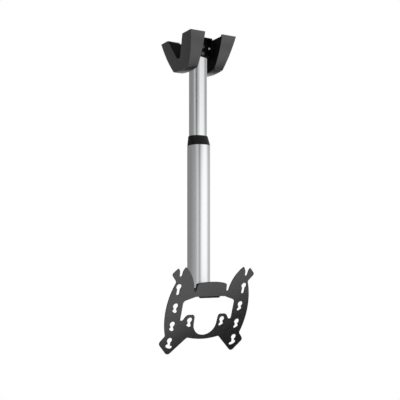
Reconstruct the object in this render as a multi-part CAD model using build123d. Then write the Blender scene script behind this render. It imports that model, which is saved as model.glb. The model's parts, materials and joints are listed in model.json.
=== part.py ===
from build123d import *
import os
from math import asin, cos, degrees, radians, sin

# Ceiling mount for a flat screen: a folded ceiling bracket under two V-shaped covers, a telescopic
# column that turns below it, and a tilting plate with keyholes. Millimetres, +Z up, ceiling at Z = 0,
# screen side towards -Y, column axis on X = Y = 0.

# Ceiling bracket, an inverted channel
bracket_width = 50.0
bracket_length = 73.0
bracket_depth = 46.0
bracket_sheet = 3.0
bracket_bend = 4.0
bracket_corner_cut = 8.0
ceiling_hole_radius = 4.25
ceiling_hole_spacing_x = 26.0
ceiling_hole_spacing_y = 59.0

# Swivel block, held between the bracket's flanges
block_length = 44.0
block_height = 42.0
block_corner = 5.0
spindle_radius = 9.0
spindle_thread_radius = 6.0
spindle_setback = 1.5
spindle_nut_height = 7.3
spindle_nut_room = 2.0
cross_bolt_radius = 4.0
cross_bolt_offset = 18.0
cross_bolt_drop = 8.0
brake_screw_radius = 2.7
brake_screw_drops = (20.0, 38.2)

# V-shaped covers
cover_gap = 1.0
cover_reach = 44.0
cover_length = 169.0
cover_foot_length = 86.0
cover_height = 84.3
cover_belly = 3.5
cover_bulge = 5.0
cover_lean = 17.0
cover_wall = 2.5
cover_edge_round = 1.2
rebate_width = 7.3
rebate_depth = 3.8
rebate_end = 7.0
notch_length = 81.0
notch_floor_length = 15.0
notch_depth = 54.8
notch_shift = 3.0
cover_boss_radius = 4.5
cover_boss_length = 14.0
cover_screw_places = ((-27.0, -26.0), (30.0, -34.0))
cover_screw_radius = 2.5
cover_screw_bite = 10.0

# Telescopic column
upper_width = 49.0
upper_depth = 42.4
upper_wall = 2.5
upper_edge_flat = 1.2
upper_drop = 49.4
upper_length = 430.0
plug_screw_shares = (0.3, 0.7)
guide_screw_bite = 6.0
lower_wall = 2.2
lower_edge_flat = 1.0
lower_length = 387.0
side_room = 1.3
front_room = 14.6
back_room = 6.6
collar_drop = 261.8
collar_height = 27.0
collar_lip = 2.0
collar_edge_round = 1.5
collar_spigot = 15.0
guide_flange = 12.0
guide_spigot = 22.0
guide_wall = 10.0
slide_clearance = 0.35
plug_length = 32.0
thrust_washer_thickness = 1.5
thrust_washer_radius = 16.0
shoe_height = 40.0
shoe_width = 30.0
shoe_drop = 5.0
lock_screw_radius = 4.0
lock_screw_spacing = 18.0

# Tilting head at the foot of the column
end_block_height = 22.0
end_block_spigot = 20.0
end_block_round = 3.0
end_screw_rises = (5.5, 14.5)
end_screw_bite = 12.0
lug_width = 55.0
lug_radius = 11.5
lug_root = 17.0
lug_step = 1.5
pivot_reach = 13.6
pivot_drop = 8.0
pivot_bolt_radius = 4.0
guide_pin_radius = 2.5
guide_pin_rise = 15.0
guide_pin_land = 6.5
guide_pin_stand = 1.0
friction_washer_thickness = 1.5
friction_washer_radius = 11.0

# Screen plate, drawn in its own plane: across, and up from the middle of the 200 mm hole pattern
tilt = 20.2
tilt_travel = 20.0
plate_sheet = 3.0
pivot_above_centre = 48.0
pivot_behind_plate = 19.0
screw_pattern = 200.0
inner_pattern = 100.0
inner_pattern_shift = 9.0
key_rows = (51.0, 1.5, -50.5, -102.0)
key_head_radius = 7.5
key_stem_radius = 4.2
key_travel = 14.6
long_key_travel = 19.2
key_side_travel = 6.0
key_side_turn = 30.0
foot_side_travel = 12.5
foot_side_rise = 14.0
foot_side_turn = 23.0
ear_slot_radius = 3.5
ear_slot_rise = 1.9
tab_slot_radius = 3.4
yoke_width = 64.0
yoke_sheet = 3.0
yoke_low = 35.2
yoke_high = 76.0
yoke_corner = 4.0
yoke_back_radius = 11.0
yoke_spare_angle = 1.0

# Corners of the plate's right half, each across and up from the screw seat that it stands by
tab_corner = (-5.2, 17.5)
tab_crown = 23.0
crown_rise = 1.8
ear_inner_tip = (-11.2, 25.0)
ear_outer_tip = (9.2, 21.8)
ear_side = (26.5, 4.0)
ear_neck = (9.5, -17.0)
ear_hollow = (11.9, 31.0)
ear_slot_mouth = (4.6, 13.0)
foot_neck = (15.5, 29.5)
foot_side = (32.0, 8.5)
foot_tip = (0.0, -28.0)
foot_root = (-1.0, 23.0)
plate_bulge = 26.6
belly_rise = 16.5
belly_sag = 1.6
tip_round = 2.5
neck_round = 6.0
corner_round = 7.0
foot_round = 9.5

# Window in the plate, with two lobes standing up beside a round throat
window_top = 40.6
window_top_half = 44.0
window_side_inset = 21.0
window_shoulder = 28.6
window_low = 27.0
window_foot = 8.3
window_top_round = 12.0
window_side_round = 10.0
window_low_round = 3.6
lobe_drop = 11.3
lobe_width = 24.2
lobe_shift = 1.1
lobe_round = 7.5
lobe_shoulder_round = 12.0
throat_radius = 35.5
throat_drop = 36.5

# Fasteners, as shares of the shank's radius where they follow a standard
fit_clearance = 0.1
hole_clearance = 0.3
running_clearance = 0.06
head_radius_ratio = 1.6
head_height_ratio = 1.1
low_head_ratio = 0.6
head_chamfer_ratio = 0.2
hex_head_ratio = 1.3
socket_ratio = 0.8
socket_depth_ratio = 0.5
nut_height_ratio = 1.7
nut_radius_ratio = 1.73
washer_radius_ratio = 2.0
washer_thickness = 1.6
guide_screw_radius = 2.0
tip_room = 1.0
thread_tail = 2.0

# Places worked out from the sizes above
flange_inside = bracket_width / 2 - bracket_sheet
block_top = -bracket_sheet
block_bottom = block_top - block_height
nut_recess_depth = washer_thickness + spindle_nut_height + spindle_nut_room
spindle_nut_radius = spindle_thread_radius * nut_radius_ratio
nut_recess_radius = spindle_nut_radius + spindle_nut_room
boss_top = block_bottom - thrust_washer_thickness - running_clearance
nut_floor = block_top - nut_recess_depth + running_clearance
cover_inside = bracket_width / 2 + cover_gap
upper_bottom = -upper_drop - upper_length
lower_width = upper_width + 2 * (side_room + lower_wall)
lower_depth = upper_depth + front_room + back_room + 2 * lower_wall
lower_middle = (back_room - front_room) / 2
lower_back = lower_middle + lower_depth / 2
lower_top = -collar_drop - collar_height
lower_bottom = lower_top - lower_length
pivot_y = lower_middle - lower_depth / 2 - pivot_reach
pivot_z = lower_bottom - pivot_drop
guide_pin_z = pivot_z + guide_pin_rise
yoke_inside = yoke_width / 2 - yoke_sheet
plate_centre_y = pivot_y + pivot_above_centre * sin(radians(tilt)) - pivot_behind_plate * cos(radians(tilt))
plate_centre_z = pivot_z - pivot_above_centre * cos(radians(tilt)) - pivot_behind_plate * sin(radians(tilt))
plate_plane = Plane(
    origin=(0, plate_centre_y, plate_centre_z),
    x_dir=(1, 0, 0),
    z_dir=(0, -cos(radians(tilt)), -sin(radians(tilt))),
)


def column_outline(width, depth, edge_flat, grow=0.0):
    """Rounded outline of a column section, grown or shrunk evenly all round."""
    radius = min(width, depth) / 2 - edge_flat + grow
    return RectangleRounded(width + 2 * grow, depth + 2 * grow, radius)


def upper_outline(grow=0.0):
    return column_outline(upper_width, upper_depth, upper_edge_flat, grow)


def lower_outline(grow=0.0):
    return Pos(0, lower_middle) * column_outline(lower_width, lower_depth, lower_edge_flat, grow)


def prism(outline, bottom, top):
    """Upright prism of an outline between two heights."""
    return extrude(Pos(0, 0, bottom) * outline, top - bottom)


def rod(radius, start, end):
    """Round rod from one point to another."""
    axis = Vector(end) - Vector(start)
    return extrude(Plane(origin=start, z_dir=axis) * Circle(radius), axis.length)


def hexagon_rod(radius, start, end):
    axis = Vector(end) - Vector(start)
    return extrude(Plane(origin=start, z_dir=axis) * RegularPolygon(radius, 6), axis.length)


def socket_screw(radius, seat, length, direction, height_ratio=head_height_ratio):
    """Cap screw: its head stands on the seat, its shank runs along the direction."""
    seat = Vector(seat)
    along = Vector(direction).normalized()
    head_height = radius * 2 * height_ratio
    top = seat - along * head_height
    shank = rod(radius, seat, seat + along * length)
    head = rod(radius * head_radius_ratio, top, seat)
    rims = head.edges().filter_by(GeomType.CIRCLE)
    head = chamfer(rims.sort_by_distance(top)[0], radius * head_chamfer_ratio)
    socket = hexagon_rod(radius * socket_ratio, top, top + along * head_height * socket_depth_ratio)
    return shank + head - socket


def washer(inner, outer, start, end):
    return rod(outer, start, end) - rod(inner, start, end)


def group(solids):
    return Compound(children=list(solids))


# Ceiling bracket
def ceiling_bracket():
    outside = Pos(0, 0, -bracket_depth / 2) * Box(bracket_width, bracket_length, bracket_depth)
    outside = fillet(outside.edges().filter_by(Axis.Y).group_by(Axis.Z)[-1], bracket_bend)
    inside_depth = bracket_depth - bracket_sheet
    hollow = Box(2 * flange_inside, bracket_length, inside_depth)
    hollow = Pos(0, 0, -bracket_sheet - inside_depth / 2) * hollow
    hollow = fillet(hollow.edges().filter_by(Axis.Y).group_by(Axis.Z)[-1], bracket_bend - bracket_sheet)
    channel = outside - hollow
    corners = channel.edges().filter_by(Axis.X).group_by(Axis.Z)[0]
    channel = chamfer(corners, bracket_corner_cut)
    holes = GridLocations(ceiling_hole_spacing_x, ceiling_hole_spacing_y, 2, 2)
    for place in holes:
        channel -= place * Pos(0, 0, -bracket_sheet / 2) * Cylinder(ceiling_hole_radius, bracket_sheet * 2)
    for side in (-1, 1):
        y = side * cross_bolt_offset
        z = block_top - cross_bolt_drop
        channel -= rod(cross_bolt_radius + hole_clearance, (-bracket_width, y, z), (bracket_width, y, z))
    for y, z in cover_screw_places:
        channel -= rod(cover_screw_radius + hole_clearance, (-bracket_width, y, z), (bracket_width, y, z))
    return channel


def swivel_block():
    block = Pos(0, 0, (block_top + block_bottom) / 2) * Box(2 * flange_inside, block_length, block_height)
    block = fillet(block.edges().filter_by(Axis.Z), block_corner)
    block = chamfer(block.edges().group_by(Axis.Z)[-1], bracket_bend - bracket_sheet + fit_clearance)
    block -= rod(spindle_radius + running_clearance, (0, 0, block_bottom), (0, 0, block_top))
    block -= rod(nut_recess_radius, (0, 0, block_top - nut_recess_depth), (0, 0, block_top))
    for side in (-1, 1):
        y = side * cross_bolt_offset
        z = block_top - cross_bolt_drop
        block -= rod(cross_bolt_radius + hole_clearance, (-flange_inside, y, z), (flange_inside, y, z))
    for drop in brake_screw_drops:
        z = block_top - drop
        block -= rod(brake_screw_radius + fit_clearance, (0, -block_length / 2, z), (0, 0, z))
    return block


def cross_bolts():
    bolts = []
    half = bracket_width / 2
    radius = cross_bolt_radius
    nut_height = radius * nut_height_ratio
    for side in (-1, 1):
        y = side * cross_bolt_offset
        z = block_top - cross_bolt_drop
        shank = rod(radius, (-half, y, z), (half + nut_height + thread_tail, y, z))
        head = hexagon_rod(radius * nut_radius_ratio, (-half - radius * hex_head_ratio, y, z), (-half, y, z))
        nut = hexagon_rod(radius * nut_radius_ratio, (half, y, z), (half + nut_height, y, z))
        bolts.append(shank + head + nut)
    return group(bolts)


def brake_screws():
    front = -block_length / 2
    length = -front - spindle_radius - slide_clearance
    places = [(0, front, block_top - drop) for drop in brake_screw_drops]
    return group(socket_screw(brake_screw_radius, place, length, (0, 1, 0)) for place in places)


# V-shaped covers
def cover_profile(rim):
    """V outline in the Y-Z plane, its arms carried on past the ceiling by the rim."""
    half_foot = cover_foot_length / 2
    foot = Vector(half_foot, -cover_height)
    top = Vector(cover_length / 2, 0)
    chord = top - foot
    outwards = Vector(chord.Y, -chord.X).normalized()
    back = ThreePointArc(foot, (foot + top) / 2 + outwards * cover_bulge, top)
    back_rim = back @ 1 + (back % 1) * (rim / (back % 1).Y)
    front = mirror(back, about=Plane.YZ)
    front_rim = Vector(-back_rim.X, rim)
    flank_run = (notch_length - notch_floor_length) / 2
    half_notch = notch_length / 2 + flank_run * rim / notch_depth
    notch = Polyline(
        back_rim,
        (notch_shift + half_notch, rim),
        (notch_shift + notch_floor_length / 2, -notch_depth),
        (notch_shift - notch_floor_length / 2, -notch_depth),
        (notch_shift - half_notch, rim),
        front_rim,
    )
    belly = ThreePointArc(front @ 0, (0, -cover_height - cover_belly), foot)
    return make_face(Curve() + [back, Line(top, back_rim), notch, Line(front_rim, front @ 1), front, belly])


def leaning_plane(inset):
    """Plane of the cover's outer face, moved inwards by the inset."""
    normal = Vector(cover_height, 0, -cover_lean).normalized()
    origin = Vector(cover_inside + cover_reach, 0, 0) - normal * inset
    return Plane(origin=origin, z_dir=normal)


def cover_plane(x):
    """Plane across the mount for the cover's outline, facing outwards."""
    return Plane(origin=(x, 0, 0), x_dir=(0, 1, 0), z_dir=(1, 0, 0))


def right_cover():
    rim = 2 * cover_wall
    outside = extrude(cover_plane(cover_inside) * cover_profile(rim), cover_reach + rim)
    outside = split(outside, bisect_by=leaning_plane(0), keep=Keep.BOTTOM)
    outside = split(outside, bisect_by=Plane.XY, keep=Keep.BOTTOM)
    square_edges = outside.edges().group_by(Axis.X)[0] + outside.edges().group_by(Axis.Z)[-1]
    outside = fillet(outside.edges() - square_edges, cover_edge_round)
    cavity_outline = offset(cover_profile(rim), -cover_wall, kind=Kind.INTERSECTION)
    cavity = extrude(cover_plane(cover_inside + cover_wall) * cavity_outline, cover_reach + rim)
    cavity = split(cavity, bisect_by=leaning_plane(cover_wall), keep=Keep.BOTTOM)
    rebate = Box(2 * rebate_width, cover_length - 2 * rebate_end, 2 * rebate_depth)
    shell = outside - cavity - Pos(cover_inside, 0, 0) * rebate
    pad_start = bracket_width / 2
    boss_end = cover_inside + cover_boss_length
    pilot_end = cover_inside + cover_screw_bite
    for y, z in cover_screw_places:
        shell += rod(cover_boss_radius, (cover_inside, y, z), (boss_end, y, z)) & outside
        shell += rod(cover_boss_radius, (pad_start, y, z), (cover_inside, y, z))
        shell -= rod(cover_screw_radius + running_clearance, (pad_start, y, z), (pilot_end, y, z))
    return shell


def cover_screws():
    screws = []
    length = bracket_sheet + cover_gap + cover_screw_bite - tip_room
    for side in (-1, 1):
        for y, z in cover_screw_places:
            seat = (side * flange_inside, y, z)
            screws.append(socket_screw(cover_screw_radius, seat, length, (side, 0, 0)))
    return group(screws)


# Upper half of the column, which turns in the swivel block
def upper_tube():
    tube = prism(upper_outline(), upper_bottom, -upper_drop)
    tube -= prism(upper_outline(-upper_wall), upper_bottom, -upper_drop)
    for place in plug_screw_places() + guide_screw_places():
        inside = Vector(place) - Vector(0, upper_wall * 2, 0)
        tube -= rod(guide_screw_radius + hole_clearance, inside, place)
    return tube


def plug_screw_places():
    return [(0, upper_depth / 2, -upper_drop - plug_length * share) for share in plug_screw_shares]


def guide_screw_places():
    return [(0, upper_depth / 2, upper_bottom + guide_spigot / 2)]


def rear_screws(places, length):
    """Low-headed screws that enter the column from behind."""
    backwards = (0, -1, 0)
    screws = [socket_screw(guide_screw_radius, place, length, backwards, low_head_ratio) for place in places]
    return group(screws)


def column_screws():
    return rear_screws(plug_screw_places() + guide_screw_places(), upper_wall + guide_screw_bite)


def rear_screw_holes(body, places, depth):
    for place in places:
        inside = Vector(place) - Vector(0, depth + tip_room, 0)
        body -= rod(guide_screw_radius + running_clearance, inside, place)
    return body


def spindle_plug():
    spindle_top = block_top - spindle_setback
    plug = prism(upper_outline(-upper_wall - fit_clearance), -upper_drop - plug_length, -upper_drop)
    plug += rod(thrust_washer_radius, (0, 0, -upper_drop), (0, 0, boss_top))
    plug += rod(spindle_radius, (0, 0, boss_top), (0, 0, nut_floor))
    plug += rod(spindle_thread_radius, (0, 0, nut_floor), (0, 0, spindle_top))
    return rear_screw_holes(plug, plug_screw_places(), upper_wall + guide_screw_bite)


def thrust_washer():
    top = boss_top + thrust_washer_thickness
    return washer(spindle_radius + fit_clearance, thrust_washer_radius, (0, 0, boss_top), (0, 0, top))


def spindle_washer():
    top = nut_floor + washer_thickness
    bore = spindle_thread_radius + fit_clearance
    return washer(bore, nut_recess_radius - hole_clearance, (0, 0, nut_floor), (0, 0, top))


def spindle_nut():
    bottom = nut_floor + washer_thickness
    top = bottom + spindle_nut_height
    nut = hexagon_rod(spindle_nut_radius, (0, 0, bottom), (0, 0, top))
    return nut - rod(spindle_thread_radius + running_clearance, (0, 0, bottom), (0, 0, top))


def column_guide():
    bottom = upper_bottom - guide_flange
    guide = prism(lower_outline(-lower_wall - slide_clearance), bottom, upper_bottom)
    guide += prism(upper_outline(-upper_wall - fit_clearance), upper_bottom, upper_bottom + guide_spigot)
    hollow = upper_outline(-upper_wall - fit_clearance - guide_wall)
    guide -= prism(hollow, bottom, upper_bottom + guide_spigot)
    return rear_screw_holes(guide, guide_screw_places(), upper_wall + guide_screw_bite)


# Lower half of the column, which slides over the upper
def lock_screw_places():
    first = lower_top - collar_spigot - shoe_drop - shoe_height / 2 + lock_screw_spacing / 2
    return [(0, lower_back, first), (0, lower_back, first - lock_screw_spacing)]


def end_screw_places():
    return [(0, lower_back, lower_bottom + rise) for rise in end_screw_rises]


def lower_tube():
    tube = prism(lower_outline(), lower_bottom, lower_top)
    tube -= prism(lower_outline(-lower_wall), lower_bottom, lower_top)
    for place in lock_screw_places():
        inside = Vector(place) - Vector(0, lower_wall * 2, 0)
        tube -= rod(lock_screw_radius + hole_clearance, inside, place)
    for place in end_screw_places():
        inside = Vector(place) - Vector(0, lower_wall * 2, 0)
        tube -= rod(guide_screw_radius + hole_clearance, inside, place)
    return tube


def collar():
    low = Pos(0, 0, lower_top) * lower_outline()
    high = Pos(0, 0, -collar_drop) * upper_outline(collar_lip)
    cap = loft([low, high], ruled=True)
    cap = fillet(cap.edges().group_by(Axis.Z)[-1], collar_edge_round)
    cap += prism(lower_outline(-lower_wall - fit_clearance), lower_top - collar_spigot, lower_top)
    cap -= prism(upper_outline(slide_clearance), lower_top - collar_spigot, -collar_drop)
    return cap


def lock_shoe():
    inner = upper_depth / 2 + slide_clearance
    outer = lower_back - lower_wall
    top = lower_top - collar_spigot - shoe_drop
    block = Box(shoe_width, outer - inner, shoe_height)
    shoe = Pos(0, (inner + outer) / 2, top - shoe_height / 2) * block
    shoe &= prism(lower_outline(-lower_wall - fit_clearance / 2), top - shoe_height, top)
    for place in lock_screw_places():
        shoe -= rod(lock_screw_radius + running_clearance, (0, inner, place[2]), (0, outer, place[2]))
    return shoe


def lock_screws():
    length = lower_back - upper_depth / 2 - slide_clearance
    return group(socket_screw(lock_screw_radius, place, length, (0, -1, 0)) for place in lock_screw_places())


# Head at the foot of the column
def end_block():
    bottom = lower_bottom - end_block_height
    body = prism(lower_outline(), bottom, lower_bottom)
    body = fillet(body.edges().group_by(Axis.Z)[0], end_block_round)
    body += prism(lower_outline(-lower_wall - fit_clearance), lower_bottom, lower_bottom + end_block_spigot)
    across = Plane(origin=(-lug_width / 2, 0, 0), x_dir=(0, 1, 0), z_dir=(1, 0, 0))
    lug_back = -lug_root
    lug_low = pivot_z - lug_radius
    lug_high = lower_bottom - lug_step
    arm = Polyline(
        (pivot_y, lug_low), (lug_back, lug_low), (lug_back, lug_high), (pivot_y, lug_high), close=True
    )
    lug = make_face(arm) + Pos(pivot_y, pivot_z) * Circle(lug_radius)
    lug += Pos(pivot_y, pivot_z + guide_pin_rise / 2) * Rectangle(2 * guide_pin_land, guide_pin_rise)
    lug += Pos(pivot_y, guide_pin_z) * Circle(guide_pin_land)
    block = extrude(across * lug, lug_width)
    waist = prism(lower_outline(), bottom, lower_bottom)
    ahead = Pos(0, -lower_depth, lower_bottom) * Box(lug_width, 2 * lower_depth, 4 * end_block_height)
    body += block & (waist + ahead)
    half = lug_width / 2
    body -= rod(pivot_bolt_radius + running_clearance, (-half, pivot_y, pivot_z), (half, pivot_y, pivot_z))
    body -= rod(guide_pin_radius, (-half, pivot_y, guide_pin_z), (half, pivot_y, guide_pin_z))
    return rear_screw_holes(body, end_screw_places(), lower_wall + end_screw_bite)


def end_screws():
    return rear_screws(end_screw_places(), lower_wall + end_screw_bite)


def on_pivot(x):
    """Point of the tilt axis at a place across the mount."""
    return (x, pivot_y, pivot_z)


def guide_pin():
    end = yoke_width / 2 + guide_pin_stand
    radius = guide_pin_radius - running_clearance
    return rod(radius, (-end, pivot_y, guide_pin_z), (end, pivot_y, guide_pin_z))


def friction_washers():
    rings = []
    for side in (-1, 1):
        start = on_pivot(side * yoke_inside)
        end = on_pivot(side * (yoke_inside - friction_washer_thickness + running_clearance))
        rings.append(washer(pivot_bolt_radius + running_clearance, friction_washer_radius, start, end))
    return group(rings)


def pivot_bolt():
    seat = yoke_width / 2 + washer_thickness
    radius = pivot_bolt_radius
    shank = rod(radius, on_pivot(-seat), on_pivot(seat + radius * nut_height_ratio + thread_tail))
    head = hexagon_rod(radius * nut_radius_ratio, on_pivot(-seat - radius * hex_head_ratio), on_pivot(-seat))
    return shank + head


def pivot_nut():
    start = on_pivot(yoke_width / 2 + washer_thickness)
    end = on_pivot(yoke_width / 2 + washer_thickness + pivot_bolt_radius * nut_height_ratio)
    nut = hexagon_rod(pivot_bolt_radius * nut_radius_ratio, start, end)
    return nut - rod(pivot_bolt_radius + running_clearance, start, end)


def pivot_washers():
    rings = []
    outer = pivot_bolt_radius * washer_radius_ratio
    for side in (-1, 1):
        start = on_pivot(side * yoke_width / 2)
        end = on_pivot(side * (yoke_width / 2 + washer_thickness))
        rings.append(washer(pivot_bolt_radius + running_clearance, outer, start, end))
    return group(rings)


# Screen plate
def round_corners(face, corners):
    """Round the outline's corners nearest to the given points."""
    for place, radius in corners:
        corner = face.vertices().sort_by_distance(place)[0]
        face = fillet(corner, radius)
    return face


def u_slot(seat, radius):
    """Rounded end of an open slot that a screw drops into from above."""
    x, y = seat
    return ThreePointArc((x - radius, y), (x, y - radius), (x + radius, y))


def plate_outline():
    half = screw_pattern / 2
    ear_seat = Vector(half, half)
    foot_seat = Vector(half, -half)
    tab_seat = Vector(inner_pattern / 2, inner_pattern / 2 + inner_pattern_shift)
    root_seat = Vector(inner_pattern / 2, -half)
    tab = tab_seat + tab_corner
    crown = Vector(0, tab_seat.Y + tab_crown)
    inner_tip = ear_seat + ear_inner_tip
    outer_tip = ear_seat + ear_outer_tip
    side = ear_seat + ear_side
    neck = ear_seat + ear_neck
    waist = foot_seat + foot_neck
    foot = foot_seat + foot_side
    toe = foot_seat + foot_tip
    root = root_seat + foot_root
    belly = Vector(0, belly_rise - half)
    mouth_inner = ear_seat + (-ear_slot_mouth[0], ear_slot_mouth[1])
    mouth_outer = ear_seat + ear_slot_mouth
    tab_slot = u_slot((tab_seat.X, tab_seat.Y), tab_slot_radius)
    ear_slot = u_slot((ear_seat.X, ear_seat.Y + ear_slot_rise), ear_slot_radius)
    edges = [
        ThreePointArc(crown, (crown + tab) / 2 + Vector(0, crown_rise), tab),
        Line(tab, tab_slot @ 0),
        tab_slot,
        ThreePointArc(tab_slot @ 1, tab_seat + ear_hollow, inner_tip),
        Polyline(inner_tip, mouth_inner, ear_slot @ 0),
        ear_slot,
        Polyline(ear_slot @ 1, mouth_outer, outer_tip, side, neck),
        ThreePointArc(neck, (half + plate_bulge, 0), waist),
        Polyline(waist, foot, toe, root),
        ThreePointArc(root, (root + belly) / 2 - Vector(0, belly_sag), belly),
        Line(belly, crown),
    ]
    right = make_face(Curve() + edges)
    right = round_corners(right, [
        (tab, corner_round), (inner_tip, tip_round), (outer_tip, tip_round), (side, corner_round),
        (neck, neck_round), (waist, neck_round), (foot, foot_round), (toe, foot_round), (root, corner_round),
    ])
    return right + mirror(right, about=Plane.YZ)


def window_outline():
    lobe_middle = inner_pattern / 2 - lobe_shift
    window_side = screw_pattern / 2 - window_side_inset
    top = Vector(window_top_half, window_top)
    shoulder = Vector(window_side, window_shoulder)
    low = Vector(window_side, -window_low)
    lobe_foot = Vector(window_side - window_foot, -window_low)
    lobe_outer = Vector(lobe_middle + lobe_width / 2, -lobe_drop)
    lobe_inner = Vector(lobe_middle - lobe_width / 2, -lobe_drop)
    throat = CenterArc((0, -throat_drop), throat_radius, 0, -90)
    middle = Vector(0, window_top)
    edges = [
        Polyline(middle, top, shoulder, low, lobe_foot, lobe_outer, lobe_inner, throat @ 0),
        throat,
        Line(throat @ 1, middle),
    ]
    right = make_face(Curve() + edges)
    right = round_corners(right, [
        (top, window_top_round), (shoulder, window_side_round), (low, window_low_round),
        (lobe_foot, window_low_round), (lobe_outer, lobe_shoulder_round), (lobe_inner, lobe_round),
    ])
    return right + mirror(right, about=Plane.YZ)


def keyhole(seat_x, seat_y, travel, side_slot=None):
    """Keyhole with its screw seat at the given point, its entry hole above and any slot across the seat."""
    entry = Pos(0, travel) * Circle(key_head_radius)
    stem = Pos(0, travel / 2) * Rectangle(2 * key_stem_radius, travel)
    hole = entry + stem + Circle(key_stem_radius)
    if side_slot:
        hole += side_slot
    return Pos(seat_x, seat_y) * hole


def plate_holes():
    half = screw_pattern / 2
    inner = inner_pattern / 2
    upper_row, middle_row, lower_row, foot_row = key_rows
    level_slot = SlotCenterToCenter(key_side_travel, 2 * key_stem_radius)
    swing = degrees(asin(foot_side_travel / 2 / foot_side_rise))
    holes = []
    for side in (-1, 1):
        leaning_slot = Rot(0, 0, side * key_side_turn) * level_slot
        turn = side * foot_side_turn
        smile_middle = (-foot_side_rise * sin(radians(turn)), foot_side_rise * cos(radians(turn)))
        smile = CenterArc(smile_middle, foot_side_rise, 270 + turn - swing, 2 * swing)
        smile_slot = SlotArc(smile, 2 * key_stem_radius)
        holes.append(keyhole(side * half, upper_row, long_key_travel))
        holes.append(keyhole(side * half, middle_row, key_travel, leaning_slot))
        holes.append(keyhole(side * half, lower_row, key_travel, leaning_slot))
        holes.append(keyhole(side * half, foot_row, long_key_travel, smile_slot))
        holes.append(keyhole(side * inner, inner_pattern_shift - inner, key_travel, leaning_slot))
    return holes


def screen_plate():
    outline = plate_outline() - window_outline()
    for hole in plate_holes():
        outline -= hole
    return extrude(plate_plane * outline, -plate_sheet)


def tilt_yoke():
    """Folded bracket on the plate's back: a web and two cheeks that hold the pivot bolt."""
    height = yoke_high - yoke_low
    web_outline = Pos(0, (yoke_high + yoke_low) / 2) * RectangleRounded(yoke_width, height, yoke_corner)
    back = plate_plane.offset(-plate_sheet)
    web = extrude(back * web_outline, -yoke_sheet)
    reach = pivot_behind_plate - plate_sheet
    slot_y = pivot_above_centre + guide_pin_rise * cos(radians(tilt))
    slot_x = reach + guide_pin_rise * sin(radians(tilt))
    cheek_outline = make_hull(
        (
            Pos(yoke_sheet, (yoke_high + yoke_low) / 2) * Rectangle(2 * yoke_sheet, height - 2 * yoke_corner)
            + Pos(reach, pivot_above_centre) * Circle(yoke_back_radius)
            + Pos(slot_x, slot_y) * Circle(guide_pin_land)
        ).edges()
    )
    cheek_outline -= Pos(reach, pivot_above_centre) * Circle(pivot_bolt_radius + fit_clearance)
    slot_start = 90 - tilt - yoke_spare_angle
    slot_angle = tilt_travel + 2 * yoke_spare_angle
    slot_arc = CenterArc((reach, pivot_above_centre), guide_pin_rise, slot_start, slot_angle)
    cheek_outline -= SlotArc(slot_arc, 2 * (guide_pin_radius + hole_clearance))
    for side in (-1, 1):
        outer = side * yoke_width / 2
        origin = back.origin + back.x_dir * outer
        cheek_plane = Plane(origin=origin, x_dir=-back.z_dir, z_dir=back.x_dir)
        web += extrude(cheek_plane * cheek_outline, -side * yoke_sheet)
    return web


parts = {
    "ceiling_bracket": ceiling_bracket(),
    "swivel_block": swivel_block(),
    "cross_bolts": cross_bolts(),
    "brake_screws": brake_screws(),
    "right_cover": right_cover(),
    "cover_screws": cover_screws(),
    "upper_tube": upper_tube(),
    "spindle_plug": spindle_plug(),
    "thrust_washer": thrust_washer(),
    "spindle_washer": spindle_washer(),
    "spindle_nut": spindle_nut(),
    "column_guide": column_guide(),
    "column_screws": column_screws(),
    "lower_tube": lower_tube(),
    "collar": collar(),
    "lock_shoe": lock_shoe(),
    "lock_screws": lock_screws(),
    "end_block": end_block(),
    "end_screws": end_screws(),
    "guide_pin": guide_pin(),
    "friction_washers": friction_washers(),
    "pivot_bolt": pivot_bolt(),
    "pivot_nut": pivot_nut(),
    "pivot_washers": pivot_washers(),
    "screen_plate": screen_plate(),
    "tilt_yoke": tilt_yoke(),
}
parts["left_cover"] = mirror(parts["right_cover"], about=Plane.YZ)

os.makedirs("parts", exist_ok=True)
for name, part in parts.items():
    export_step(part, f"parts/{name}.step")
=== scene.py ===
import json
from math import pi, radians

import bmesh
import bpy
from mathutils import Matrix, Vector
from mathutils.bvhtree import BVHTree


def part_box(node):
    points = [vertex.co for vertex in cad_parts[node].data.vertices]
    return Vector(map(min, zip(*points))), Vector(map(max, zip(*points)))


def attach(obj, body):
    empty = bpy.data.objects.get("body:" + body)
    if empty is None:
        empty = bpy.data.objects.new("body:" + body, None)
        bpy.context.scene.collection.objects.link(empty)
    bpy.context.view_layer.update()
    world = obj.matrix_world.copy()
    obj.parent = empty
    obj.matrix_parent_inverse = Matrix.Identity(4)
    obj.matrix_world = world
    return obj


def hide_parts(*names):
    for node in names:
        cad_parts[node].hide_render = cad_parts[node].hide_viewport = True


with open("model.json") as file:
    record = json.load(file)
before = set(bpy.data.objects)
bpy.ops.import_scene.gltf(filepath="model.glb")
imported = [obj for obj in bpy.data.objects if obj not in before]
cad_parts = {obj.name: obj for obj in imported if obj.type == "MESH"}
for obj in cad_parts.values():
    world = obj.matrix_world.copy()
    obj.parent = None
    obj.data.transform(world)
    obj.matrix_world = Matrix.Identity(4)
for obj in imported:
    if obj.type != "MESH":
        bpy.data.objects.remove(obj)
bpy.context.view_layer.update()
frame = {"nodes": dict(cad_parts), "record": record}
nodes = frame["nodes"]
bodies = frame["record"]["behaviour"]["bodies"]
body_of = {node: body for body, members in bodies.items() for node in members}
slot_of = {row["node"]: row["material_slot"] for row in frame["record"]["subparts"]}

# Camera, level, to the left of the screen side
camera_place = (-1.0281, -1.7949, -0.5915)
camera_turn = radians(-29.96)
camera_lens = 68.03
camera_sensor = 36.0
camera_rise = 0.142

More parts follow.
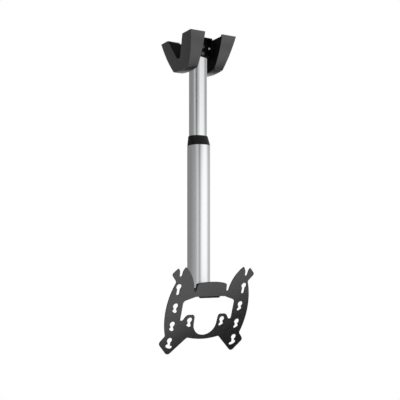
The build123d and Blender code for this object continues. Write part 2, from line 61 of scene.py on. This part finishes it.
# Tubes and collar, in metres
upper_wall = 0.0025
upper_edge_flat = 0.0012
lower_wall = 0.0022
lower_edge_flat = 0.001
corner_segments = 24
tube_end_round = 0.0004
tube_end_segments = 2
tube_end_angle = radians(60)
outline_bar_height = 1.0
collar_lip = 0.002
collar_edge_round = 0.0015
collar_edge_segments = 4
collar_spigot = 0.015
slide_clearance = 0.00035
fit_clearance = 0.0001

# Rounding of the solids' sharp edges, in metres
soft_edges = {
    "screen_plate": 0.0005,
    "left_cover": 0.0005,
    "right_cover": 0.0005,
    "tilt_yoke": 0.0004,
    "ceiling_bracket": 0.0003,
    "end_block": 0.0004,
    "swivel_block": 0.0003,
}
soft_edge_segments = 3
sharp_angle = radians(35)
merge_distance = 0.00002
overshoot_share = 0.35

# Which faces count as facing a way, as a notch's slope or as a plate's flat
facing_share = 0.5
notch_slope = 0.1
notch_rim = 0.004
flat_share = 0.95

# Noise and its usual low and high ends
grain_detail = 3.0
noise_low = 0.3
noise_high = 0.7

# Studio, in metres
pure_white = (1, 1, 1, 1)
ambient_light = 0.4
floor_height = -1.55
floor_half = 14.0
floor_colour = (0.86, 0.86, 0.86, 1)
floor_fade = (0.9, 2.4)
lamp_aim = (0, 0, -0.45)
lamps = {
    "key_lamp": dict(place=(0.9, -2.3, 0.5), size=(1.6, 2.2), power=34),
    "fill_lamp": dict(place=(-2.4, -0.6, 0.3), size=(1.4, 1.8), power=10),
    "top_lamp": dict(place=(0.2, 0.3, 1.9), size=(1.6, 1.6), power=10),
}
screen_turn = radians(-26)
far_turn = radians(30)
back_turn = radians(-30)
back_seam = (1.6, 2.75)
dark_glow = 0.01
cloth_lift = 0.002
cloths = {
    "dark_cloth": dict(seam=(0.87, -0.93), turn=screen_turn, width=1.6, reach=1.2, brightness=dark_glow),
    "white_cloth": dict(seam=(0.6, -0.80), turn=screen_turn, width=3.2, reach=-0.8, brightness=1.05),
    "far_white_cloth": dict(seam=(1.1, -1.9), turn=far_turn, width=3.2, reach=-1.2, brightness=1.2),
    "rear_cloth": dict(seam=back_seam, turn=back_turn, width=1.8, reach=-1.6, brightness=dark_glow),
    "back_cloth": dict(
        seam=back_seam, turn=back_turn, width=1.8, reach=0.6, brightness=dark_glow, rise=pi / 2,
    ),
}
tent_radius = 3.4
tent_high = 1.8
tent_segments = 96
tent_gain = 1.3
tent_front = radians(240)

# Brightness round the light tent in four rows, and the heights between which a row takes over from the
# one below; angles in degrees from the tent's front, positive to the camera's right
foot_tones = ((-180, 0.10), (-110, 0.35), (0, 0.50), (60, 0.55), (120, 0.35), (180, 0.10))
low_change = (-1.15, -0.85)
low_tones = (
    (-180, 1.10), (-166, 0.17), (-60, 0.40), (-34, 0.53), (-22, 0.84), (-11, 0.66), (-4, 0.30), (28, 1.20),
    (74, 1.24), (107, 0.58), (166, 0.64), (180, 1.10),
)
high_change = (0.12, 0.34)
high_tones = (
    (-180, 0.70), (-166, 0.27), (-54, 0.27), (-34, 0.64), (-20, 0.42), (-8, 0.10), (0, 0.10), (12, 0.38),
    (44, 0.72), (56, 1.15), (85, 0.60), (108, 0.34), (180, 0.70),
)
top_change = (0.66, 1.0)
top_tones = (
    (-180, 0.60), (-166, 0.27), (-54, 0.28), (-34, 0.62), (-20, 0.44), (-8, 0.12), (0, 0.12), (12, 0.36),
    (50, 0.80), (66, 0.75), (90, 0.45), (180, 0.60),
)


# Nodes and shader groups
def add_node(tree, kind, **settings):
    """New node with its plain settings and the defaults of its named sockets."""
    node = tree.nodes.new(kind)
    for label, value in settings.items():
        if label in node.inputs:
            node.inputs[label].default_value = value
        else:
            setattr(node, label, value)
    return node


def range_node(tree, start, end):
    """Map Range node that carries a start and an end to 0 and 1."""
    node = tree.nodes.new("ShaderNodeMapRange")
    node.inputs["From Min"].default_value = start
    node.inputs["From Max"].default_value = end
    return node


def new_group(name, inputs, outputs):
    """Empty shader group with named sockets; a colour's default has four numbers."""
    group = bpy.data.node_groups.new(name, "ShaderNodeTree")
    for label, default in inputs.items():
        kind = "NodeSocketColor" if isinstance(default, tuple) else "NodeSocketFloat"
        socket = group.interface.new_socket(label, in_out="INPUT", socket_type=kind)
        socket.default_value = default
    for label, kind in outputs.items():
        group.interface.new_socket(label, in_out="OUTPUT", socket_type=kind)
    return group, group.nodes.new("NodeGroupInput"), group.nodes.new("NodeGroupOutput")


def stretched_noise(tree, stretch, detail):
    """Noise on the piece's own coordinates, stretched along the axes."""
    place = tree.nodes.new("ShaderNodeTexCoord")
    mapping = add_node(tree, "ShaderNodeMapping", Scale=stretch)
    noise = add_node(tree, "ShaderNodeTexNoise", Scale=1.0, Detail=detail)
    tree.links.new(place.outputs["Object"], mapping.inputs["Vector"])
    tree.links.new(mapping.outputs["Vector"], noise.inputs["Vector"])
    return noise


def spread(tree, noise, low, high):
    """Noise carried to the range between the values of two sockets."""
    reach = range_node(tree, noise_low, noise_high)
    tree.links.new(noise.outputs["Fac"], reach.inputs["Value"])
    tree.links.new(low, reach.inputs["To Min"])
    tree.links.new(high, reach.inputs["To Max"])
    return reach.outputs["Result"]


def surface_group(name, grain_stretch, cloud_stretch, cloud_detail):
    """Fine grain for the bump, and slow clouds that shift colour and roughness a little."""
    inputs = {
        "Colour": (0.5, 0.5, 0.5, 1.0),
        "Grain Scale": 1000.0,
        "Darkest": 0.9,
        "Lightest": 1.1,
        "Smoothest": 0.4,
        "Roughest": 0.5,
    }
    outputs = {"Colour": "NodeSocketColor", "Roughness": "NodeSocketFloat", "Height": "NodeSocketFloat"}
    group, given, made = new_group(name, inputs, outputs)
    links = group.links
    grain = stretched_noise(group, grain_stretch, grain_detail)
    links.new(given.outputs["Grain Scale"], grain.inputs["Scale"])
    clouds = stretched_noise(group, cloud_stretch, cloud_detail)
    shade = group.nodes.new("ShaderNodeHueSaturation")
    links.new(given.outputs["Colour"], shade.inputs["Color"])
    value = spread(group, clouds, given.outputs["Darkest"], given.outputs["Lightest"])
    links.new(value, shade.inputs["Value"])
    rough = spread(group, clouds, given.outputs["Smoothest"], given.outputs["Roughest"])
    links.new(shade.outputs["Color"], made.inputs["Colour"])
    links.new(rough, made.inputs["Roughness"])
    links.new(grain.outputs["Fac"], made.inputs["Height"])
    return group


coat_grain = surface_group(
    "coat_grain", grain_stretch=(1, 1, 1), cloud_stretch=(22, 22, 22), cloud_detail=4.0
)
drawn_lines = surface_group(
    "drawn_lines", grain_stretch=(1, 1, 0.004), cloud_stretch=(160, 160, 1.5), cloud_detail=3.0
)
turned_metal = surface_group(
    "turned_metal", grain_stretch=(1, 1, 1), cloud_stretch=(180, 180, 180), cloud_detail=3.0
)


# Finishes
def finish_material(name, group, colour, grain_size, relief, tones, gloss, metallic=0.0, specular=0.5):
    """Principled material on one of the surface groups; tones and gloss are low and high ends."""
    material = bpy.data.materials.new(name)
    material.use_nodes = True
    tree = material.node_tree
    shader = tree.nodes["Principled BSDF"]
    surface = tree.nodes.new("ShaderNodeGroup")
    surface.node_tree = group
    surface.inputs["Colour"].default_value = (*colour, 1.0)
    surface.inputs["Grain Scale"].default_value = 1 / grain_size
    surface.inputs["Darkest"].default_value = tones[0]
    surface.inputs["Lightest"].default_value = tones[1]
    surface.inputs["Smoothest"].default_value = gloss[0]
    surface.inputs["Roughest"].default_value = gloss[1]
    bump = add_node(tree, "ShaderNodeBump", Distance=relief)
    tree.links.new(surface.outputs["Colour"], shader.inputs["Base Color"])
    tree.links.new(surface.outputs["Roughness"], shader.inputs["Roughness"])
    tree.links.new(surface.outputs["Height"], bump.inputs["Height"])
    tree.links.new(bump.outputs["Normal"], shader.inputs["Normal"])
    shader.inputs["Metallic"].default_value = metallic
    shader.inputs["Specular IOR Level"].default_value = specular
    return material


# One for each material slot of the record; grain and relief in metres
finishes = {
    "black_steel": dict(
        name="black_powder_coat", group=coat_grain, colour=(0.010, 0.010, 0.011), grain_size=0.0009,
        relief=0.00001, tones=(0.94, 1.06), gloss=(0.18, 0.21), specular=1.0,
    ),
    "black_bracket_coat": dict(
        name="matt_black_coat", group=coat_grain, colour=(0.004, 0.004, 0.0045), grain_size=0.0007,
        relief=0.00003, tones=(0.9, 1.1), gloss=(0.60, 0.70), specular=0.04,
    ),
    "silver_aluminium": dict(
        name="satin_aluminium", group=drawn_lines, colour=(0.80, 0.81, 0.82), grain_size=0.0006,
        relief=0.0000025, tones=(0.98, 1.02), gloss=(0.18, 0.23), metallic=1.0,
    ),
    "black_cover_plastic": dict(
        name="black_spark_plastic", group=coat_grain, colour=(0.014, 0.014, 0.015), grain_size=0.0006,
        relief=0.000016, tones=(0.94, 1.06), gloss=(0.28, 0.32), specular=1.0,
    ),
    "black_collar_plastic": dict(
        name="black_satin_plastic", group=coat_grain, colour=(0.005, 0.005, 0.0055), grain_size=0.0007,
        relief=0.00001, tones=(0.92, 1.08), gloss=(0.28, 0.34), specular=0.12,
    ),
    "guide_plastic": dict(
        name="grey_guide_plastic", group=coat_grain, colour=(0.06, 0.06, 0.063), grain_size=0.0008,
        relief=0.00003, tones=(0.92, 1.08), gloss=(0.40, 0.50),
    ),
    "bearing_nylon": dict(
        name="natural_nylon", group=coat_grain, colour=(0.74, 0.72, 0.66), grain_size=0.001,
        relief=0.00002, tones=(0.96, 1.04), gloss=(0.36, 0.46),
    ),
    "zinc_steel": dict(
        name="bright_zinc", group=turned_metal, colour=(0.62, 0.63, 0.65), grain_size=0.0005,
        relief=0.000006, tones=(0.9, 1.08), gloss=(0.24, 0.36), metallic=1.0,
    ),
    "black_fasteners": dict(
        name="black_oxide", group=turned_metal, colour=(0.12, 0.12, 0.125), grain_size=0.0005,
        relief=0.00001, tones=(0.9, 1.1), gloss=(0.28, 0.38), metallic=0.9,
    ),
}
materials = {slot: finish_material(**finish) for slot, finish in finishes.items()}
# The bracket's own matt black, also laid on other pieces below as painted shade
bracket_black_as_painted_shade = materials["black_bracket_coat"]

# Painted shade: fasteners in the dark between the covers take black finishes in place of their slots' own,
# so that they look black
painted_shade_finishes = {
    "cross_bolts": "black_bracket_coat",
    "spindle_washer": "black_fasteners",
    "spindle_nut": "black_fasteners",
    "thrust_washer": "black_fasteners",
}


# Pieces
def new_object(name, data):
    """Object in the scene for a mesh, a lamp or a camera."""
    thing = bpy.data.objects.new(name, data)
    bpy.context.scene.collection.objects.link(thing)
    return thing


def mesh_object(name, bm, material):
    """Object of one material from a bmesh, which is used up."""
    mesh = bpy.data.meshes.new(name)
    bm.to_mesh(mesh)
    bm.free()
    mesh.materials.append(material)
    return new_object(name, mesh)


def add_piece(name, bm, node):
    """Piece from a bmesh, riding with the solid that it stands for and in that solid's finish."""
    slot = slot_of[node]
    piece = mesh_object(name, bm, materials[slot])
    piece.data.polygons.foreach_set("use_smooth", [True] * len(piece.data.polygons))
    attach(piece, body_of[node])
    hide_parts(node)
    return piece


def bevel_edges(bm, edges, width, segments):
    """Round edges over; returns the faces of the rounded strips."""
    made = bmesh.ops.bevel(
        bm, geom=edges, offset=width, offset_type="OFFSET", segments=segments, profile=0.5,
        affect="EDGES", material=-1, clamp_overlap=False,
    )
    return made["faces"]


def sharp_edges(bm):
    """Edges at which two faces meet in a corner."""
    paired = [edge for edge in bm.edges if len(edge.link_faces) == 2]
    return [edge for edge in paired if edge.calc_face_angle() > sharp_angle]


def split_shading(bm, strips=()):
    """Shade corners sharp, and the borders of rounded strips, so that flats stay flat beside them."""
    for edge in sharp_edges(bm):
        edge.smooth = False
    rounded = set(strips)
    for edge in bm.edges:
        if len(rounded.intersection(edge.link_faces)) == 1:
            edge.smooth = False


def rounded_bar(low, high, edge_flat):
    """Upright bar between two corners, with large rounded upright edges, as a bmesh."""
    bm = bmesh.new()
    size = high - low
    place = Matrix.Translation((low + high) / 2)
    bmesh.ops.create_cube(bm, size=1, matrix=place @ Matrix.Diagonal((*size, 1)))
    upright = [edge for edge in bm.edges if edge.verts[0].co.z != edge.verts[1].co.z]
    bevel_edges(bm, upright, min(size.x, size.y) / 2 - edge_flat, corner_segments)
    return bm


def tube(name, node, wall, edge_flat):
    """Drawn tube with its cut ends lightly broken."""
    bm = rounded_bar(*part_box(node), edge_flat)
    ends = [face for face in bm.faces if abs(face.normal.z) > facing_share]
    bmesh.ops.delete(bm, geom=ends, context="FACES_ONLY")
    split_shading(bm)
    piece = add_piece(name, bm, node)
    shell = piece.modifiers.new("wall", "SOLIDIFY")
    shell.thickness = wall
    shell.offset = -1
    broken = piece.modifiers.new("broken_ends", "BEVEL")
    broken.width = tube_end_round
    broken.segments = tube_end_segments
    broken.limit_method = "ANGLE"
    broken.angle_limit = tube_end_angle
    broken.harden_normals = True
    return piece


def ring(bm, box, margin, edge_flat, height):
    """Rounded outline of a box and its margin at one height, added to a bmesh; returns its edges."""
    low, high = box
    start = Vector((low.x - margin, low.y - margin, height))
    end = Vector((high.x + margin, high.y + margin, height + outline_bar_height))
    bar = rounded_bar(start, end, edge_flat)
    raised = [vert for vert in bar.verts if vert.co.z > height + outline_bar_height / 2]
    bmesh.ops.delete(bar, geom=raised, context="VERTS")
    bmesh.ops.delete(bar, geom=bar.faces[:], context="FACES_ONLY")
    mesh = bpy.data.meshes.new("outline")
    bar.to_mesh(mesh)
    bar.free()
    known = set(bm.edges)
    bm.from_mesh(mesh)
    bpy.data.meshes.remove(mesh)
    return [edge for edge in bm.edges if edge not in known]


def collar():
    """Tapered collar with a spigot in the lower tube and a close hole for the upper one."""
    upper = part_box("upper_tube")
    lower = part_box("lower_tube")
    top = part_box("collar")[1].z
    seat = lower[1].z
    foot = seat - collar_spigot
    inset = -lower_wall - fit_clearance
    bm = bmesh.new()
    outlines = [
        (lower, 0, lower_edge_flat, seat),
        (upper, collar_lip, upper_edge_flat, top),
        (upper, slide_clearance, upper_edge_flat, top),
        (upper, slide_clearance, upper_edge_flat, foot),
        (lower, inset, lower_edge_flat, foot),
        (lower, inset, lower_edge_flat, seat),
    ]
    rings = [ring(bm, *outline) for outline in outlines]
    for first, second in zip(rings, rings[1:] + rings[:1]):
        bmesh.ops.bridge_loops(bm, edges=first + second)
    bmesh.ops.recalc_face_normals(bm, faces=bm.faces)
    rim = [edge for edge in rings[1] if edge.is_valid]
    split_shading(bm, bevel_edges(bm, rim, collar_edge_round, collar_edge_segments))
    add_piece("collar_cap", bm, "collar")


def hold_on_solid(bm, node, skin, slack):
    """Bring points that the rounding pushed out of a solid back to its skin, and into its box."""
    low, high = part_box(node)
    for vert in bm.verts:
        near, normal, _, gap = skin.find_nearest(vert.co)
        if gap > slack and (vert.co - near).dot(normal) > 0:
            vert.co = near
        vert.co = [min(max(place, least), most) for place, least, most in zip(vert.co, low, high)]


def softened_copy(name, node, width):
    """Copy of a solid with its sharp edges rounded over."""
    bm = bmesh.new()
    bm.from_mesh(nodes[node].data)
    bmesh.ops.remove_doubles(bm, verts=bm.verts, dist=merge_distance)
    skin = BVHTree.FromBMesh(bm)
    split_shading(bm, bevel_edges(bm, sharp_edges(bm), width, soft_edge_segments))
    hold_on_solid(bm, node, skin, width * overshoot_share)
    return add_piece(name, bm, node)


def paint_shade_inside(piece, side):
    """Painted shade: matt black on a cover's inner wall and in its notch, standing in for the shade where
    the real one is open to its hollow.
    """
    piece.data.materials.append(bracket_black_as_painted_shade)
    for face in piece.data.polygons:
        inward = face.normal.x * side < -facing_share
        in_notch = face.normal.z > notch_slope and face.center.z < -notch_rim
        if inward or in_notch:
            face.material_index = 1


def paint_shade_on_cut_edges(piece):
    """Painted shade: matt black round a flat plate's cut edges and holes, for the shade on them."""
    piece.data.materials.append(bracket_black_as_painted_shade)
    flat = max(piece.data.polygons, key=lambda face: face.area).normal
    for face in piece.data.polygons:
        if abs(face.normal.dot(flat)) < flat_share:
            face.material_index = 1


upper_column_tube = tube("upper_column_tube", "upper_tube", upper_wall, upper_edge_flat)
tube("lower_column_tube", "lower_tube", lower_wall, lower_edge_flat)
collar()
softened = {node: softened_copy(f"{node}_soft", node, width) for node, width in soft_edges.items()}
paint_shade_inside(softened["left_cover"], -1)
paint_shade_inside(softened["right_cover"], 1)
paint_shade_on_cut_edges(softened["screen_plate"])
# Painted shade: the yoke and the end block take the bracket's matt black in place of their powder coat, so
# that they read as in shade
for node in ("tilt_yoke", "end_block"):
    softened[node].data.materials[0] = bracket_black_as_painted_shade
for node, solid in nodes.items():
    solid.data.materials.clear()
    solid.data.materials.append(materials[painted_shade_finishes.get(node, slot_of[node])])

# In the photograph no glossy face mirrors these
unmirrored = [softened[node] for node in ("left_cover", "right_cover", "screen_plate")]
for piece in (upper_column_tube, *unmirrored):
    piece.visible_glossy = False


# Studio
def looked_at(tree):
    """Mask for rays of the camera, of gloss and of glass."""
    path = tree.nodes.new("ShaderNodeLightPath")
    direct = add_node(tree, "ShaderNodeMath", operation="MAXIMUM")
    mask = add_node(tree, "ShaderNodeMath", operation="MAXIMUM")
    tree.links.new(path.outputs["Is Camera Ray"], direct.inputs[0])
    tree.links.new(path.outputs["Is Glossy Ray"], direct.inputs[1])
    tree.links.new(direct.outputs["Value"], mask.inputs[0])
    tree.links.new(path.outputs["Is Transmission Ray"], mask.inputs[1])
    return mask.outputs["Value"]


def bare_material(name):
    """Material with nothing on its output yet; returns it and its output socket."""
    material = bpy.data.materials.new(name)
    material.use_nodes = True
    tree = material.node_tree
    tree.nodes.remove(tree.nodes["Principled BSDF"])
    return material, tree.nodes["Material Output"].inputs["Surface"]


def glow_material(name, brightness):
    """Plain white glow for a card."""
    material, surface = bare_material(name)
    tree = material.node_tree
    glow = add_node(tree, "ShaderNodeEmission", name="Glow", Color=pure_white, Strength=brightness)
    tree.links.new(glow.outputs["Emission"], surface)
    return material


def reflected_card(name, bm, material):
    """Card round the object that only reflections show."""
    card = mesh_object(name, bm, material)
    card.visible_camera = False
    card.visible_diffuse = False
    card.visible_shadow = False


def tone_ramp(tree, share, tones):
    """Brightness once round the tent, from behind the object past its left, front and right."""
    ramp = tree.nodes.new("ShaderNodeValToRGB")
    tree.links.new(share.outputs["Result"], ramp.inputs["Fac"])
    for angle, _ in tones[1:-1]:
        ramp.color_ramp.elements.new((angle + 180) / 360)
    for element, (_, tone) in zip(ramp.color_ramp.elements, tones):
        element.color = (tone / tent_gain, tone / tent_gain, tone / tent_gain, 1)
    return ramp.outputs["Color"]


def socket_named(sockets, identifier):
    """The socket with this identifier, where several share a name."""
    return next(socket for socket in sockets if socket.identifier == identifier)


def light_tent():
    """Round tent whose brightness changes from bearing to bearing, and from low to high."""
    material = glow_material("tent_glow", tent_gain)
    tree = material.node_tree
    links = tree.links
    place = tree.nodes.new("ShaderNodeTexCoord")
    turned = add_node(tree, "ShaderNodeMapping", Rotation=(0, 0, -tent_front))
    split = tree.nodes.new("ShaderNodeSeparateXYZ")
    bearing = add_node(tree, "ShaderNodeMath", operation="ARCTAN2")
    share = range_node(tree, -pi, pi)
    links.new(place.outputs["Object"], turned.inputs["Vector"])
    links.new(turned.outputs["Vector"], split.inputs["Vector"])
    links.new(split.outputs["Y"], bearing.inputs[0])
    links.new(split.outputs["X"], bearing.inputs[1])
    links.new(bearing.outputs["Value"], share.inputs["Value"])
    colour = tone_ramp(tree, share, foot_tones)
    changes = ((low_tones, low_change), (high_tones, high_change), (top_tones, top_change))
    for tones, heights in changes:
        rise = range_node(tree, *heights)
        mix = add_node(tree, "ShaderNodeMix", data_type="RGBA")
        links.new(split.outputs["Z"], rise.inputs["Value"])
        links.new(rise.outputs["Result"], mix.inputs["Factor"])
        links.new(colour, socket_named(mix.inputs, "A_Color"))
        links.new(tone_ramp(tree, share, tones), socket_named(mix.inputs, "B_Color"))
        colour = socket_named(mix.outputs, "Result_Color")
    links.new(colour, tree.nodes["Glow"].inputs["Color"])
    bm = bmesh.new()
    middle = Matrix.Translation((0, 0, (floor_height + tent_high) / 2))
    bmesh.ops.create_cone(
        bm, segments=tent_segments, radius1=tent_radius, radius2=tent_radius,
        depth=tent_high - floor_height, matrix=middle,
    )
    reflected_card("light_tent", bm, material)


def cloth(name, seam, turn, width, reach, brightness, rise=0.0):
    """Cloth from a seam along the floor or upright, which leaning faces reflect."""
    bm = bmesh.new()
    bmesh.ops.create_grid(bm, x_segments=1, y_segments=1, size=0.5)
    bmesh.ops.translate(bm, verts=bm.verts, vec=(0, 0.5, 0))
    bmesh.ops.scale(bm, verts=bm.verts, vec=(width, reach, 1))
    place = Matrix.Translation((*seam, floor_height + cloth_lift))
    turned = Matrix.Rotation(turn, 4, "Z") @ Matrix.Rotation(rise, 4, "X")
    bmesh.ops.transform(bm, verts=bm.verts, matrix=place @ turned)
    reflected_card(name, bm, glow_material(name, brightness))


def floor_material():
    """Pale and matt near the object, and running out to plain white."""
    material, surface = bare_material("pale_floor")
    tree = material.node_tree
    links = tree.links
    matt = add_node(tree, "ShaderNodeBsdfDiffuse", Color=floor_colour)
    white = add_node(tree, "ShaderNodeEmission", Color=pure_white, Strength=1.0)
    place = tree.nodes.new("ShaderNodeTexCoord")
    flat = add_node(tree, "ShaderNodeVectorMath", operation="MULTIPLY")
    flat.inputs[1].default_value = (1, 1, 0)
    reach = add_node(tree, "ShaderNodeVectorMath", operation="LENGTH")
    fade = range_node(tree, *floor_fade)
    seen = add_node(tree, "ShaderNodeMath", operation="MULTIPLY")
    mix = tree.nodes.new("ShaderNodeMixShader")
    links.new(place.outputs["Object"], flat.inputs[0])
    links.new(flat.outputs["Vector"], reach.inputs[0])
    links.new(reach.outputs["Value"], fade.inputs["Value"])
    links.new(fade.outputs["Result"], seen.inputs[0])
    links.new(looked_at(tree), seen.inputs[1])
    links.new(seen.outputs["Value"], mix.inputs["Fac"])
    links.new(matt.outputs["BSDF"], mix.inputs[1])
    links.new(white.outputs["Emission"], mix.inputs[2])
    links.new(mix.outputs["Shader"], surface)
    return material


def floor():
    """Level floor under the object that takes its shadow."""
    bm = bmesh.new()
    level = Matrix.Translation((0, 0, floor_height))
    bmesh.ops.create_grid(bm, x_segments=2, y_segments=2, size=floor_half, matrix=level)
    mesh_object("studio_floor", bm, floor_material())


def lamp(name, place, size, power):
    """Soft box aimed at the object, kept out of its reflections."""
    light = bpy.data.lights.new(name, "AREA")
    light.shape = "RECTANGLE"
    light.size, light.size_y = size
    light.energy = power
    holder = new_object(name, light)
    holder.location = place
    holder.rotation_euler = (Vector(lamp_aim) - Vector(place)).to_track_quat("-Z", "Y").to_euler()
    holder.visible_glossy = False


def white_world():
    """Even soft light, with plain white where the camera, gloss or glass looks past the object."""
    world = bpy.data.worlds.new("studio_white")
    bpy.context.scene.world = world
    world.use_nodes = True
    tree = world.node_tree
    ambient = tree.nodes["Background"]
    ambient.inputs["Color"].default_value = pure_white
    ambient.inputs["Strength"].default_value = ambient_light
    white = add_node(tree, "ShaderNodeBackground", Color=pure_white, Strength=1.0)
    mix = tree.nodes.new("ShaderNodeMixShader")
    tree.links.new(looked_at(tree), mix.inputs["Fac"])
    tree.links.new(ambient.outputs["Background"], mix.inputs[1])
    tree.links.new(white.outputs["Background"], mix.inputs[2])
    tree.links.new(mix.outputs["Shader"], tree.nodes["World Output"].inputs["Surface"])


def camera():
    """Level camera at the photograph's viewing angle."""
    lens = bpy.data.cameras.new("camera")
    lens.lens = camera_lens
    lens.sensor_width = camera_sensor
    lens.shift_y = camera_rise
    holder = new_object("camera", lens)
    holder.location = camera_place
    holder.rotation_euler = (pi / 2, 0, camera_turn)
    bpy.context.scene.camera = holder


white_world()
floor()
light_tent()
for name, settings in cloths.items():
    cloth(name, **settings)
for name, settings in lamps.items():
    lamp(name, **settings)
camera()

bpy.context.scene.view_settings.view_transform = "Standard"
